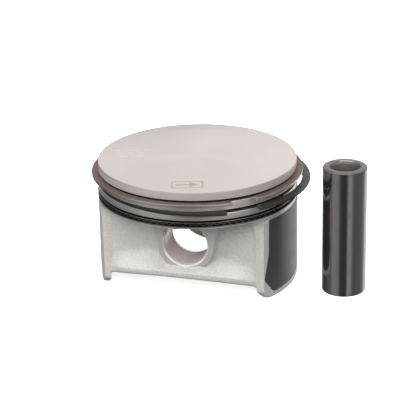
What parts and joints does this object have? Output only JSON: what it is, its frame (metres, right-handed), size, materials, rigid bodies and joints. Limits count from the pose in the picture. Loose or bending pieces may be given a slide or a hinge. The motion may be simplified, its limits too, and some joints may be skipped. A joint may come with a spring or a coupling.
{
  "type": "piston",
  "caption": "Flat-topped engine piston with coated skirts, loose split rings, a hollow wrist pin standing beside it and wire retaining clips.",
  "frame": {"origin": "centre of the wrist-pin bore, midway between the two bosses; the piston's own axis is 1.6 mm towards -X", "axes": "+Z towards the crown, Y along the wrist-pin bore, +X towards the wide (thrust) skirt and the standing wrist pin"},
  "size_m": [0.1083, 0.1108, 0.0508],
  "materials": {
    "piston_alloy": "turned lands and crown, cast side panels",
    "graphite_coating": "satin screen-printed graphite resin",
    "top_ring_steel": "lapped face, tinted sides",
    "phosphated_iron": "dark phosphate",
    "rail_steel": "bright",
    "expander_steel": "dark spring strip",
    "pin_steel": "superfinished, polished",
    "clip_wire": "drawn spring wire"
  },
  "bodies": {
    "piston": {"piston_body": "piston_alloy", "thrust_skirt_coating": "graphite_coating", "minor_skirt_coating": "graphite_coating", "fitted_circlip": "clip_wire"},
    "top_ring": {"top_compression_ring": "top_ring_steel"},
    "second_ring": {"second_compression_ring": "phosphated_iron"},
    "upper_rail": {"oil_ring_upper_rail": "rail_steel"},
    "lower_rail": {"oil_ring_lower_rail": "rail_steel"},
    "expander": {"oil_ring_expander": "expander_steel"},
    "pin": {"wrist_pin": "pin_steel"},
    "clip": {"loose_circlip": "clip_wire"}
  },
  "joints": [
    {"name": "top_ring_turn", "type": "hinge", "parent": "piston", "child": "top_ring", "pos_m": [-0.0011, -0.00205, 0.022], "axis": [0, 0, 1], "continuous": true},
    {"name": "second_ring_turn", "type": "hinge", "parent": "piston", "child": "second_ring", "pos_m": [0.0013, 0.00075, 0.0177], "axis": [0, 0, 1], "continuous": true},
    {"name": "upper_rail_turn", "type": "hinge", "parent": "piston", "child": "upper_rail", "pos_m": [-0.0016, 0, 0.0144], "axis": [0, 0, 1], "continuous": true},
    {"name": "expander_turn", "type": "hinge", "parent": "piston", "child": "expander", "pos_m": [-0.0016, 0, 0.0134], "axis": [0, 0, 1], "continuous": true},
    {"name": "lower_rail_turn", "type": "hinge", "parent": "piston", "child": "lower_rail", "pos_m": [-0.0016, 0, 0.0124], "axis": [0, 0, 1], "continuous": true},
    {"name": "pin_lift", "type": "slide", "parent": "piston", "child": "pin", "axis": [0, 0, 1], "range_m": [0, 0.08]},
    {"name": "clip_lift", "type": "slide", "parent": "piston", "child": "clip", "axis": [0, 0, 1], "range_m": [0, 0.05]}
  ]
}
